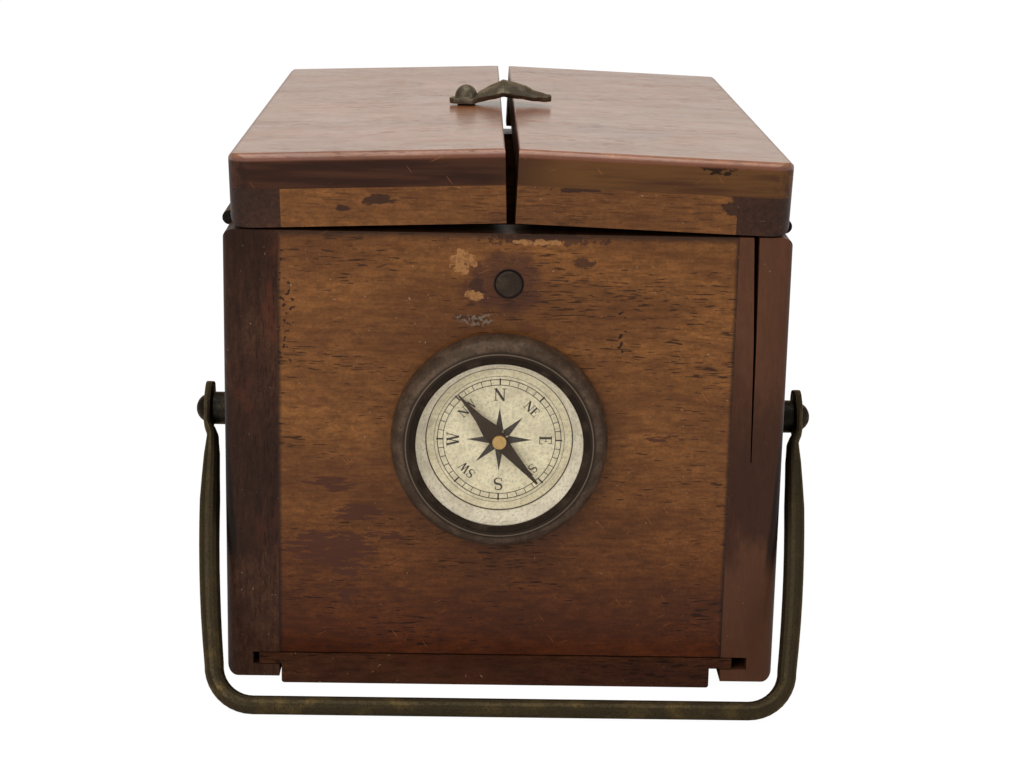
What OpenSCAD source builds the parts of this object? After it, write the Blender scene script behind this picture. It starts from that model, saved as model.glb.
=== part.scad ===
// Handheld bearing compass: a wooden box with a small compass let into its front,
// a lid in two halves with a sighting slot between them, a sliding floor panel,
// and a wire bail. Millimetres, front towards -Y, standing on Z = 0.

/* [Case] */
// Outside width of the case
case_w = 101; // [99:0.5:104]
// Depth of the case from front to back
case_d = 137.6; // [130:0.2:150]
// Height of the seam between case and lid above the standing face
seam_z = 84.9; // [83:0.1:90]
// Height of the side boards' feet above the standing face
side_foot = 1.3; // [0.8:0.1:1.8]
// Thickness of the side boards
side_t = 9.7; // [9.2:0.1:10.2]
// Thickness of the front and back boards
end_t = 9.2; // [9:0.1:9.4]
// Rounding of the upright outer corners
corner_r = 2.3; // [1:0.1:3]
// Rounding along the outer edges of the seam
seam_r = 2; // [1:0.1:2.2]

/* [Floor panel] */
// Thickness of the panel at its middle
panel_t = 5.85; // [5.6:0.05:5.9]
// Width of the panel between its rebates
panel_w = 79.1; // [76:0.1:80]
// How far the loose panel sits off centre
panel_shift = -0.85; // [-1:0.05:1]
// Width of each tongue
tongue_w = 4.1; // [3:0.1:4.2]
// Thickness of each tongue
tongue_t = 2.1; // [1.6:0.1:2.1]

/* [Lid] */
// Height of the closed lid above the seam
lid_h = 13.2; // [12:0.1:15]
// Thickness of the lid's top boards
lid_top_t = 6.3; // [5:0.1:7]
// Width of the lid's side strips
lid_side_t = 10.5; // [10:0.1:12]
// Width of the sighting slot when the lid is shut
slot_w = 1.5; // [0.8:0.1:2.5]
// Angle by which each half stands ajar at rest
lid_ajar = 2; // [0:0.1:4]
// Gap in the shut seam
seam_gap = 0.15; // [0.1:0.05:0.3]
// How far the lid's outer faces stand inside the case's
lid_inset = 0.95; // [0.8:0.05:1.2]
// How far the lid and its slot sit right of the middle
lid_shift = 0.35; // [0:0.05:0.35]
// Rounding of the lid's upright outer corners
lid_corner_r = 4.5; // [2:0.1:6]

/* [Hinges] */
// Length of each hinge
hinge_len = 14; // [12:0.5:18]
// Distance of a hinge's middle from the nearer end of the case
hinge_inset = 18.5; // [16:0.5:30]
// Radius of the knuckle
knuckle_r = 1.3; // [1.2:0.05:1.4]
// Width of each leaf inward from the pin
leaf_w = 8; // [6:0.1:8.2]
// Thickness of each leaf
leaf_t = 0.6; // [0.5:0.05:0.7]

/* [Latch] */
// Distance of the latch behind the middle of the case
latch_y = -5; // [-10:0.5:20]
// Distance of the latch screw left of the slot
latch_screw_x = 7.5; // [7:0.1:9]
// Reach of the latch to the left and to the right of the slot
latch_left = 10.9; // [10.5:0.1:12]
latch_right = 9.7; // [9:0.1:12]
// Width of the latch at its middle
latch_w = 10.6; // [8:0.1:12]
// Height of the latch's arch over the slot
latch_arch = 1.4; // [1:0.1:3]

/* [Compass] */
// Place of the compass across the front and above the standing face
compass_x = -1; // [-3:0.1:3]
compass_z = 47.45; // [44:0.05:49]
// Outer radius of the bezel's curve
bezel_r = 19.5; // [18.8:0.1:20]
// Radius of the clear opening
view_r = 14.95; // [14.5:0.05:15]
// Radius of the dial that shows inside the reflector ring
dial_show_r = 13.3; // [12.5:0.1:13.6]
// Direction of the needle's north end, turned left from straight up
needle_turn = 41.5; // [0:0.5:359]

/* [Arrest button] */
// Place of the button across the front and above the standing face
button_x = 0.2; // [-1:0.1:1]
button_z = 75.9; // [74:0.1:77]
// Radius of the button's face
button_r = 2.35; // [2.2:0.05:2.5]

/* [Bail] */
// Distance of the bail's pivots behind the front
pivot_back = 16; // [14:0.5:18]
// Height of the bail's pivots
pivot_z = 48.1; // [46:0.1:50]
// Distance of the resting bar in front of the case
bar_front = 15; // [14:0.5:18]
// Radius of the bail's wire
wire_r = 1.7; // [1.5:0.05:1.8]
// Half width of the bail at its eyes
eye_x = 54.9; // [54.7:0.1:56]
// Half width of the bail just below its eyes
shoulder_x = 54; // [53.7:0.1:54.3]
// Half width of the bail where its corners start
low_x = 51.5; // [50.8:0.1:52]

/* [Hidden] */
$fn = 64;
front_y = -case_d / 2;
back_y = case_d / 2;
half_w = case_w / 2;
inner_x = half_w - side_t;
lid_top_z = seam_z + lid_h;
groove_low = 3.6;
groove_high = 6;
groove_depth = 4.8;
board_low = groove_high + 0.1;
hinge_x = half_w - 0.2;
hinge_z = seam_z + seam_gap / 2;
hinge_ys = [front_y + hinge_inset, back_y - hinge_inset];
pin_r = 0.7;
knuckle_gap = 0.15;
screw_r = 0.7;
screw_head_r = 1.3;
screw_len = 6;

// Depths into the case from the front face; minus stands proud.
glass_front = -4.6;
glass_back = -3.8;
bezel_wall = -1.8;
dial_front = -0.6;
dial_back = 0.2;
needle_back = -1.7;
cap_front = -2.7;
cap_seat = -2.2;
cap_back = -1.2;
step_back = 2.6;
well_floor = 12.2;
well_back = 13;
bowl_r = 16.5;
bowl_in_r = 15.5;
well_r = 12;
well_in_r = 11;
hole_gap = 0.05;
lever_front = 9.6;
lever_t = 0.6;
fulcrum_z = 62.7;
fulcrum_depth = 10.6;
fulcrum_r = 0.45;
lever_w = 5.6;
lever_x = (compass_x + button_x) / 2;
lever_slot_half = 0.75;
bracket_in = lever_w / 2 + 0.2;
bracket_t = 0.8;
bracket_reach = 8;
bracket_half = 1.6;
bracket_screw_x = 5.8;
bracket_screw_len = 3.8;
spindle_r = 0.35;
cap_r = 1.25;
jewel_r = 0.55;
shaft_r = 1.1;
bush_r = 3.6;
bush_in_r = 2.95;
bezel_flat_r = 16.15;
coil_turns = 5;
coil_r = 2.1;
coil_wire = 0.2;
coil_near = 2.25;
coil_far = 6.25;
coil_steps = 80;
coil_sides = 6;

washer_t = 0.3;
latch_t = 1.1;
latch_low = lid_top_z + washer_t + 0.05;
arch_half = 6.2;
latch_shank_r = 1;
latch_screw_len = 4.8;

pivot_y = front_y + pivot_back;
eye_bore = 1.35;
shoulder_r = eye_bore - 0.05;
shoulder_len = 5.8;
boss_r = 3.05;
eye_half = 0.8;
eye_across = 4.4;
eye_top = -5.1;
eye_low = 3.2;
eye_step = 2.5;
eye_end = 9;
bail_len = norm([pivot_back + bar_front, pivot_z - wire_r]);
bail_turn = atan2(pivot_back + bar_front, pivot_z - wire_r);
bend_r = 7.3;
bend_step = 9;
bend_low = bail_len - bend_r;
ring_sides = 16;

board_colour = [0.42, 0.25, 0.13];
side_colour = [0.30, 0.17, 0.10];
strip_colour = [0.50, 0.32, 0.16];
brass_colour = [0.45, 0.38, 0.24];
bronze_colour = [0.25, 0.20, 0.16];

// ---- Shapes that repeat ----

// A block between two opposite corners
module block(low, high) {
    translate(low) cube(high - low);
}

// What a rounded corner takes off; inward points from the corner into the shape
module corner_waste(corner, inward, r) {
    translate(corner)
        mirror([inward[0] < 0 ? 1 : 0, 0])
            mirror([0, inward[1] < 0 ? 1 : 0])
                difference() {
                    translate([-1, -1]) square(r + 1);
                    translate([r, r]) circle(r);
                }
}

// A rectangle with its own radius at each corner: low left, low right, top right, top left
module rounded_rect(low, high, radii) {
    difference() {
        translate(low) square(high - low);
        if (radii[0] > 0) corner_waste(low, [1, 1], radii[0]);
        if (radii[1] > 0) corner_waste([high[0], low[1]], [-1, 1], radii[1]);
        if (radii[2] > 0) corner_waste(high, [-1, -1], radii[2]);
        if (radii[3] > 0) corner_waste([low[0], high[1]], [1, -1], radii[3]);
    }
}

// Runs an X-Z outline along Y
module along_y(low, high) {
    translate([0, high, 0]) rotate([90, 0, 0]) linear_extrude(high - low) children();
}

// Runs a Y-Z outline along X
module along_x(low, high) {
    translate([low, 0, 0]) rotate([90, 0, 90]) linear_extrude(high - low) children();
}

// Runs an X-Y outline along Z
module along_z(low, high) {
    translate([0, 0, low]) linear_extrude(high - low) children();
}

// A rod along Y between two depths from the front, centred on a place on the front
module rod_in(x, z, r, near, far) {
    translate([x, front_y + near, z]) rotate([-90, 0, 0]) cylinder(r = r, h = far - near);
}

// Turns a half-section of radius and depth about the compass's own axis
module turned_compass() {
    translate([compass_x, front_y, compass_z]) rotate([-90, 0, 0]) rotate_extrude() children();
}

// Turns a left-hand shape into the right-hand one
module right_hand() {
    mirror([1, 0, 0]) children();
}

// Opens a left lid piece to its rest angle about the left hinge line
module ajar() {
    translate([-hinge_x, 0, hinge_z])
        rotate([0, -lid_ajar, 0])
            translate([hinge_x, 0, -hinge_z])
                children();
}

// A domed slotted head standing on Z = 0
module domed_head(r, h, slot) {
    ball = (r * r + h * h) / (2 * h);
    difference() {
        intersection() {
            translate([0, 0, h - ball]) sphere(ball);
            cylinder(r = r + 1, h = h + 1);
        }
        translate([-slot / 2, -r - 1, h * 0.55]) cube([slot, 2 * r + 2, h]);
    }
}

// ---- Case boards ----

// Clearance cut around each knuckle on the left
module knuckle_relief(extra) {
    for (y = hinge_ys)
        translate([-hinge_x, y + hinge_len / 2 + 0.2, hinge_z])
            rotate([90, 0, 0])
                cylinder(r = knuckle_r + extra, h = hinge_len + 0.4);
}

// The places of the screws in one leaf, as X and Y
function leaf_screw_places() = [
    for (y = hinge_ys) for (s = [-1, 1]) [-hinge_x + leaf_w * 0.62, y + s * hinge_len * 0.3]
];

module leaf_screw_holes(low, high) {
    for (p = leaf_screw_places())
        translate([p[0], p[1], low]) cylinder(r = screw_r, h = high - low);
}

// Pockets for the leaves between two heights
module leaf_pockets(low, high) {
    for (y = hinge_ys)
        block([-hinge_x - 1, y - hinge_len / 2, low], [-hinge_x + leaf_w, y + hinge_len / 2, high]);
}

module side_board() {
    difference() {
        intersection() {
            along_y(front_y, back_y)
                rounded_rect([-half_w, side_foot], [-inner_x, seam_z], [seam_r, 0, 0, seam_r]);
            along_z(0, seam_z + 1)
                rounded_rect([-half_w, front_y], [-inner_x, back_y], [corner_r, 0, 0, corner_r]);
        }
        block([-inner_x - groove_depth, front_y - 1, groove_low], [-inner_x + 1, back_y + 1, groove_high]);
        knuckle_relief(0.3);
        leaf_pockets(seam_z - leaf_t, seam_z + 1);
        leaf_screw_holes(seam_z - screw_len, seam_z);
        translate([-half_w - 1, pivot_y, pivot_z]) rotate([0, 90, 0]) cylinder(r = shoulder_r, h = 7);
    }
}

// The long shake in the front end of the right board
module side_crack() {
    along_y(front_y - 1, front_y + 10)
        polygon([[43.3, seam_z + 1], [44.3, seam_z + 1], [44.6, 66], [44.75, 43.6], [44.55, 43.6], [44.1, 66]]);
}

module side_left() {
    color(side_colour) side_board();
}

module side_right() {
    color(side_colour) difference() {
        right_hand() side_board();
        side_crack();
    }
}

module front_board() {
    color(board_colour) difference() {
        block([-inner_x, front_y, board_low], [inner_x, front_y + end_t, seam_z]);
        rod_in(compass_x, compass_z, bowl_r + hole_gap, -1, step_back + hole_gap);
        rod_in(compass_x, compass_z, well_r + hole_gap, -1, end_t + 1);
        rod_in(button_x, button_z, button_r + 0.15, -1, 2);
        rod_in(button_x, button_z, bush_r, 1, end_t + 1);
        for (s = [-1, 1]) rod_in(lever_x + s * bracket_screw_x, fulcrum_z, screw_r, end_t - bracket_screw_len - 0.2, end_t + 1);
    }
}

module back_board() {
    color(board_colour)
        block([-inner_x, back_y - end_t, board_low], [inner_x, back_y, seam_z]);
}

module floor_panel() {
    low_x0 = panel_shift - panel_w / 2;
    high_x0 = panel_shift + panel_w / 2;
    color(board_colour) along_y(front_y, back_y) union() {
        rounded_rect([low_x0, 0], [high_x0, panel_t], [0.5, 0.5, 0, 0]);
        translate([low_x0 - tongue_w, panel_t - tongue_t]) square([panel_w + 2 * tongue_w, tongue_t]);
    }
}

// ---- Hinges ----

// Knuckles of one leaf; the case leaf has the middle one, the lid leaf the outer two
function knuckle_spans(on_case) =
    let (third = hinge_len / 3)
    on_case ? [[-third / 2 + knuckle_gap, third / 2 - knuckle_gap]]
            : [[-hinge_len / 2, -third / 2 - knuckle_gap], [third / 2 + knuckle_gap, hinge_len / 2]];

module knuckle(span, r) {
    translate([-hinge_x, span[1], hinge_z]) rotate([90, 0, 0]) cylinder(r = r, h = span[1] - span[0]);
}

module hinge_leaf(on_case, low) {
    difference() {
        union() {
            block([-hinge_x, -hinge_len / 2, low], [-hinge_x + leaf_w, hinge_len / 2, low + leaf_t]);
            for (span = knuckle_spans(on_case)) knuckle(span, knuckle_r);
        }
        for (span = knuckle_spans(!on_case))
            knuckle([span[0] - knuckle_gap, span[1] + knuckle_gap], knuckle_r + 0.15);
        knuckle([-hinge_len, hinge_len], pin_r + (on_case ? 0.05 : 0));
    }
}

// Both leaves of one kind on the left, with their screw holes
module left_leaves(on_case) {
    low = on_case ? seam_z - leaf_t : seam_z + seam_gap;
    difference() {
        for (y = hinge_ys) translate([0, y, 0]) hinge_leaf(on_case, low);
        for (p = leaf_screw_places())
            translate([p[0], p[1], low - 1]) cylinder(r = screw_head_r, h = leaf_t + 2);
    }
}

// Screws through one kind of leaf; up is 1 for the lid's screws and -1 for the case's
module left_leaf_screws(face_z, up) {
    for (p = leaf_screw_places()) translate([p[0], p[1], face_z]) mirror([0, 0, up < 0 ? 1 : 0]) difference() {
        union() {
            cylinder(r = screw_head_r, h = leaf_t);
            cylinder(r = screw_r, h = screw_len - 0.5);
        }
        translate([-2, -0.2, -1]) cube([4, 0.4, 1.3]);
    }
}

module left_pins() {
    for (y = hinge_ys) translate([0, y, 0]) knuckle([-hinge_len / 2, hinge_len / 2], pin_r);
}

module case_hinge_leaves() {
    color(brass_colour) {
        left_leaves(true);
        right_hand() left_leaves(true);
    }
}

module case_hinge_screws() {
    color(brass_colour) {
        left_leaf_screws(seam_z, -1);
        right_hand() left_leaf_screws(seam_z, -1);
    }
}

// ---- Lid, drawn shut on the left ----

// Each takes how far the lid sits towards the slot: plus on the left half, minus on the right

function lid_out(shift) = -half_w + lid_inset + shift;
function lid_in(shift) = -slot_w / 2 + shift;

module shut_top(shift) {
    intersection() {
        along_y(front_y, back_y)
            rounded_rect([lid_out(shift), lid_top_z - lid_top_t], [lid_in(shift), lid_top_z], [0, 0, 0.4, 1.5]);
        along_x(-half_w, 1)
            rounded_rect([front_y, lid_top_z - lid_top_t], [back_y, lid_top_z], [0, 0, 1.5, 1.5]);
        along_z(seam_z, lid_top_z + 1)
            rounded_rect([lid_out(shift), front_y], [lid_in(shift), back_y], [lid_corner_r, 0, 0, lid_corner_r]);
    }
}

module lid_side(shift) {
    low = seam_z + seam_gap;
    ajar() difference() {
        intersection() {
            along_y(front_y, back_y)
                rounded_rect([lid_out(shift), low], [-half_w + lid_side_t, lid_top_z - lid_top_t], [seam_r, 0, 0, 0]);
            along_z(seam_z, lid_top_z)
                rounded_rect([lid_out(shift), front_y], [-half_w + lid_side_t, back_y], [lid_corner_r, 0, 0, lid_corner_r]);
        }
        knuckle_relief(0.3);
        leaf_pockets(low - 1, low + leaf_t);
        leaf_screw_holes(low, low + screw_len);
    }
}

module lid_end_strip(y, shift) {
    ajar() block([-half_w + lid_side_t, y, seam_z + seam_gap], [lid_in(shift), y + end_t, lid_top_z - lid_top_t]);
}

module lid_leaves() {
    ajar() left_leaves(false);
}

module lid_leaf_screws() {
    ajar() left_leaf_screws(seam_z + seam_gap, 1);
}

module lid_left_top() {
    color(board_colour) ajar() difference() {
        shut_top(lid_shift);
        translate([-latch_screw_x, latch_y, lid_top_z - latch_screw_len - 0.2])
            cylinder(r = latch_shank_r, h = latch_screw_len + 1);
    }
}

module lid_left_side() {
    color(side_colour) lid_side(lid_shift);
}

module lid_left_front() {
    color(strip_colour) lid_end_strip(front_y, lid_shift);
}

module lid_left_back() {
    color(strip_colour) lid_end_strip(back_y - end_t, lid_shift);
}

module lid_left_hinge_leaves() {
    color(brass_colour) lid_leaves();
}

module lid_left_hinge_screws() {
    color(brass_colour) lid_leaf_screws();
}

module lid_left_hinge_pins() {
    color(brass_colour) left_pins();
}

module lid_right_top() {
    color(board_colour) right_hand() ajar() shut_top(-lid_shift);
}

module lid_right_side() {
    color(side_colour) right_hand() lid_side(-lid_shift);
}

module lid_right_front() {
    color(strip_colour) right_hand() lid_end_strip(front_y, -lid_shift);
}

module lid_right_back() {
    color(strip_colour) right_hand() lid_end_strip(back_y - end_t, -lid_shift);
}

module lid_right_hinge_leaves() {
    color(brass_colour) right_hand() lid_leaves();
}

module lid_right_hinge_screws() {
    color(brass_colour) right_hand() lid_leaf_screws();
}

module lid_right_hinge_pins() {
    color(brass_colour) right_hand() left_pins();
}

// ---- Latch ----

function arch_rise(x) = abs(x) < arch_half ? latch_arch * (1 + cos(180 * x / arch_half)) / 2 : 0;

module latch_side_view() {
    xs = [for (x = [-12:0.5:11]) x];
    polygon(concat(
        [for (x = xs) [x, latch_low + arch_rise(x)]],
        [for (i = [len(xs) - 1:-1:0]) [xs[i], latch_low + latch_t + arch_rise(xs[i])]]));
}

module latch_plan() {
    half = latch_w / 2;
    difference() {
        polygon([
            [-latch_left, -1.3], [-6.5, -2.5], [-3, -half + 0.9], [0, -half], [3, -half + 0.9], [6.5, -2.7], [latch_right, -1.7],
            [latch_right, 1.7], [6.5, 2.7], [3, half - 0.9], [0, half], [-3, half - 0.9], [-6.5, 2.5], [-latch_left, 1.3]]);
        polygon([[latch_right + 0.1, -0.8], [latch_right - 2.8, -0.25], [latch_right - 2.8, 0.25], [latch_right + 0.1, 0.8]]);
        polygon([[-latch_left - 0.1, -0.5], [-latch_left + 0.6, 0], [-latch_left - 0.1, 0.5]]);
        translate([-latch_screw_x, 0]) circle(latch_shank_r + 0.05);
    }
}

module latch() {
    color(brass_colour) ajar() translate([0, latch_y, 0]) intersection() {
        along_y(-latch_w, latch_w) latch_side_view();
        along_z(lid_top_z, lid_top_z + 6) latch_plan();
    }
}

module latch_washer() {
    color(brass_colour) ajar() translate([-latch_screw_x, latch_y, lid_top_z]) difference() {
        cylinder(r = 1.8, h = washer_t);
        translate([0, 0, -1]) cylinder(r = latch_shank_r, h = 2);
    }
}

module latch_screw() {
    color(brass_colour) ajar() translate([-latch_screw_x, latch_y, 0]) {
        translate([0, 0, lid_top_z - latch_screw_len])
            cylinder(r = latch_shank_r, h = latch_screw_len + washer_t + latch_t + 0.15);
        translate([0, 0, latch_low + latch_t + 0.05]) rotate([0, 0, 65]) domed_head(2.15, 1.6, 0.45);
    }
}

// ---- Compass ----

module compass_bowl() {
    color(brass_colour) difference() {
        turned_compass() union() {
            translate([bowl_in_r, glass_back]) square([bowl_r - bowl_in_r, step_back - glass_back]);
            translate([well_in_r, dial_back]) square([bowl_r - well_in_r, step_back - dial_back]);
            translate([well_in_r, dial_back]) square([well_r - well_in_r, well_back - dial_back]);
            translate([0, well_floor]) square([well_r, well_back - well_floor]);
        }
        block([lever_x - lever_w / 2 - 0.5, front_y + end_t - 0.2, compass_z + 5],
              [lever_x + lever_w / 2 + 0.5, front_y + 11.2, compass_z + well_r + 1]);
        rod_in(compass_x, compass_z, spindle_r, well_floor - 1, well_back + 1);
    }
}

module bezel() {
    color(bronze_colour) turned_compass() difference() {
        union() {
            intersection() {
                translate([bezel_flat_r, bezel_wall]) circle(bezel_r - bezel_flat_r);
                translate([bezel_flat_r, bezel_wall - 6]) square([6, 6]);
            }
            translate([bezel_flat_r, bezel_wall]) square([bezel_r - bezel_flat_r, -bezel_wall]);
        }
        translate([10, glass_back]) square([bowl_r - 10, 10]);
    }
}

module glass_ring() {
    color([0.08, 0.07, 0.06]) turned_compass()
        rounded_rect([view_r, glass_front - 0.45], [bezel_flat_r, glass_front], [0.2, 0, 0, 0]);
}

module glass() {
    color([0.8, 0.85, 0.85, 0.35]) turned_compass()
        translate([0, glass_front]) square([16.1, glass_back - glass_front]);
}

module reflector_ring() {
    color([0.80, 0.77, 0.66]) turned_compass()
        polygon([[dial_show_r, dial_front], [bowl_in_r, dial_front], [bowl_in_r, glass_back],
                 [bowl_in_r - 0.4, glass_back], [dial_show_r, dial_front - 0.5]]);
}

module dial_plate() {
    color([0.80, 0.77, 0.64]) turned_compass()
        translate([1.05, dial_front]) square([bowl_in_r - 1.05, dial_back - dial_front]);
}

module spindle() {
    color(brass_colour) rod_in(compass_x, compass_z, spindle_r, needle_back - 0.25, well_back);
}

module lock_ring() {
    color(brass_colour) difference() {
        turned_compass() translate([well_r, end_t]) square([1.5, 1.5]);
        block([lever_x - lever_w / 2 - 0.5, front_y, compass_z + 8],
              [lever_x + lever_w / 2 + 0.5, front_y + 12, compass_z + 16]);
    }
}

module needle() {
    color([0.22, 0.19, 0.17])
        translate([compass_x, front_y + needle_back, compass_z])
            rotate([90, -needle_turn, 0])
                linear_extrude(0.25)
                    difference() {
                        polygon([[0.12, 11.2], [0.35, 8.6], [0.8, 5.4], [1.55, 2.6], [1.45, 0], [1.05, -2.6], [0.35, -8.5], [0.2, -10.5],
                                 [-0.2, -10.5], [-0.35, -8.5], [-1.05, -2.6], [-1.45, 0], [-1.55, 2.6], [-0.8, 5.4], [-0.35, 8.6], [-0.12, 11.2]]);
                        circle(cap_r);
                    }
}

module needle_cap() {
    color([0.75, 0.58, 0.30]) difference() {
        rod_in(compass_x, compass_z, cap_r, cap_front, cap_back);
        rod_in(compass_x, compass_z, jewel_r, cap_seat, cap_back + 0.6);
    }
}

module cap_jewel() {
    color([0.45, 0.10, 0.12]) rod_in(compass_x, compass_z, jewel_r, cap_seat, cap_seat + 0.2);
}

// ---- Needle arrest ----

module button() {
    color(bronze_colour) {
        rod_in(button_x, button_z, button_r, -0.45, 1.4);
        translate([button_x, front_y - 0.45, button_z]) rotate([90, 0, 0])
            cylinder(r1 = button_r, r2 = button_r - 0.3, h = 0.25);
        rod_in(button_x, button_z, bush_in_r - 0.1, 1.05, 2);
        rod_in(button_x, button_z, shaft_r, 1.5, lever_front - 0.1);
    }
}

module button_bush() {
    color(brass_colour) difference() {
        rod_in(button_x, button_z, bush_r, 2, end_t - 0.1);
        rod_in(button_x, button_z, bush_in_r, 1, 6.5);
        rod_in(button_x, button_z, shaft_r + 0.05, 1, end_t + 1);
    }
}

// The spring's rings of points: a helix along Y with a small round section
module button_spring() {
    rings = [for (i = [0:coil_steps])
        let (turn = 360 * coil_turns * i / coil_steps,
             depth = coil_near + (coil_far - coil_near) * i / coil_steps)
        [for (k = [0:coil_sides - 1])
            let (a = 360 * k / coil_sides, r = coil_r + coil_wire * cos(a))
            [r * cos(turn), depth + coil_wire * sin(a), r * sin(turn)]]];
    color([0.35, 0.33, 0.30]) translate([button_x, front_y, button_z])
        tube_of_rings(rings, coil_sides);
}

// Skins a list of rings, each with the same number of points, into a closed tube
module tube_of_rings(rings, sides) {
    last = len(rings) - 1;
    polyhedron(
        points = [for (ring = rings) for (p = ring) p],
        faces = concat(
            [for (i = [0:last - 1]) for (k = [0:sides - 1])
                let (n = (k + 1) % sides)
                [i * sides + k, i * sides + n, (i + 1) * sides + k]],
            [for (i = [0:last - 1]) for (k = [0:sides - 1])
                let (n = (k + 1) % sides)
                [i * sides + n, (i + 1) * sides + n, (i + 1) * sides + k]],
            [[for (k = [sides - 1:-1:0]) k]],
            [[for (k = [0:sides - 1]) last * sides + k]]));
}

module arrest_lever() {
    top_z = button_z + 2;
    low_z = compass_z - 2.5;
    color(brass_colour) difference() {
        union() {
            block([lever_x - lever_w / 2, front_y + lever_front, low_z],
                  [lever_x + lever_w / 2, front_y + lever_front + lever_t, top_z]);
            translate([lever_x - lever_w / 2, front_y + fulcrum_depth, fulcrum_z])
                rotate([0, 90, 0]) cylinder(r = 0.9, h = lever_w);
        }
        block([compass_x - lever_slot_half, front_y, low_z - 1],
              [compass_x + lever_slot_half, front_y + 20, compass_z + 0.8]);
        translate([lever_x - lever_w, front_y + fulcrum_depth, fulcrum_z])
            rotate([0, 90, 0]) cylinder(r = fulcrum_r + 0.05, h = 2 * lever_w);
    }
}

module lever_bracket() {
    color(brass_colour) difference() {
        for (s = [-1, 1]) translate([lever_x, 0, 0]) mirror([s < 0 ? 1 : 0, 0, 0]) {
            block([bracket_in, front_y + end_t, fulcrum_z - bracket_half],
                  [bracket_in + bracket_t, front_y + 12, fulcrum_z + bracket_half]);
            block([bracket_in, front_y + end_t, fulcrum_z - bracket_half],
                  [bracket_reach, front_y + end_t + bracket_t, fulcrum_z + bracket_half]);
        }
        translate([lever_x - 10, front_y + fulcrum_depth, fulcrum_z]) rotate([0, 90, 0]) cylinder(r = fulcrum_r, h = 20);
        for (s = [-1, 1]) rod_in(lever_x + s * bracket_screw_x, fulcrum_z, screw_r, end_t - 1, end_t + 2);
    }
}

module lever_pin() {
    half = bracket_in + bracket_t;
    color(brass_colour) translate([lever_x - half, front_y + fulcrum_depth, fulcrum_z])
        rotate([0, 90, 0]) cylinder(r = fulcrum_r, h = 2 * half);
}

module bracket_screws() {
    color(brass_colour) for (s = [-1, 1]) {
        rod_in(lever_x + s * bracket_screw_x, fulcrum_z, screw_r, end_t - bracket_screw_len, end_t + bracket_t);
        translate([lever_x + s * bracket_screw_x, front_y + end_t + bracket_t, fulcrum_z]) rotate([-90, 0, 0])
            domed_head(1.4, 0.8, 0.35);
    }
}

module lift_sleeve() {
    color(brass_colour) difference() {
        union() {
            rod_in(compass_x, compass_z, 0.9, cap_back + 0.1, lever_front - 0.1);
            rod_in(compass_x, compass_z, 1.8, lever_front - 0.7, lever_front - 0.1);
        }
        rod_in(compass_x, compass_z, spindle_r + 0.1, cap_back - 1, lever_front + 1);
    }
}

// ---- Bail ----

module bail_bosses() {
    boss_x = eye_x - eye_half - 0.1;
    color(brass_colour) for (s = [-1, 1]) difference() {
        translate([s < 0 ? -boss_x : half_w, pivot_y, pivot_z])
            rotate([0, 90, 0]) cylinder(r = boss_r, h = boss_x - half_w);
        translate([s < 0 ? -eye_x : half_w - 1, pivot_y, pivot_z])
            rotate([0, 90, 0]) cylinder(r = shoulder_r, h = eye_x - half_w + 1);
    }
}

module bail_screws() {
    head_x = eye_x + eye_half + 0.1;
    color(brass_colour) for (s = [0, 1]) mirror([s, 0, 0]) translate([0, pivot_y, pivot_z]) rotate([0, 90, 0]) {
        translate([0, 0, half_w - shoulder_len])
            cylinder(r = shoulder_r, h = head_x + 0.05 - half_w + shoulder_len);
        translate([0, 0, head_x]) rotate([0, 0, 20 + 50 * s]) domed_head(2.5, 1.5, 0.5);
    }
}

// Half width of the bail at a distance along its arm
function arm_x(r) =
    r < eye_low ? eye_x
    : r < eye_end ? shoulder_x + (eye_x - shoulder_x) * (1 + cos(180 * min(1, (r - eye_low) / eye_step))) / 2
    : shoulder_x - (shoulder_x - low_x) * pow((r - eye_end) / (bend_low - eye_end), 2.1);

// One arm's stations, from the tip of its eye to the middle of the bar, as half width and distance
arm_stations = concat(
    [for (r = [eye_top + 0.1, -4.8, -4.2, -3.2, -1.6, 0, 1.6, eye_low, 4, 4.7, 5.5, 7, eye_end]) [arm_x(r), r]],
    [for (i = [1:9]) let (r = eye_end + (bend_low - eye_end) * i / 9) [arm_x(r), r]],
    [for (a = [bend_step:bend_step:90]) [low_x - bend_r + bend_r * cos(a), bend_low + bend_r * sin(a)]],
    [for (x = [30, 15]) [x, bail_len]]);
bail_path = concat(
    [for (s = arm_stations) [-s[0], -s[1]]],
    [[0, -bail_len]],
    [for (i = [len(arm_stations) - 1:-1:0]) [arm_stations[i][0], -arm_stations[i][1]]]);

// How far a station is on the way from flat eye to round wire
function roundness(r) = min(1, max(0, r / eye_end));
function half_across(r) =
    r < 0 ? eye_across * sqrt(1 - pow(r / eye_top, 2)) : eye_across + (wire_r - eye_across) * roundness(r);
function half_thick(r) =
    lookup(r, [[eye_low, eye_half], [6, 1.1], [eye_end, 1.5], [18, wire_r + 0.2], [38, wire_r + 0.15], [52, wire_r]]);
function bulge(v, r) = sign(v) * pow(abs(v), 0.45 + 0.55 * roundness(r));

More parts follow.
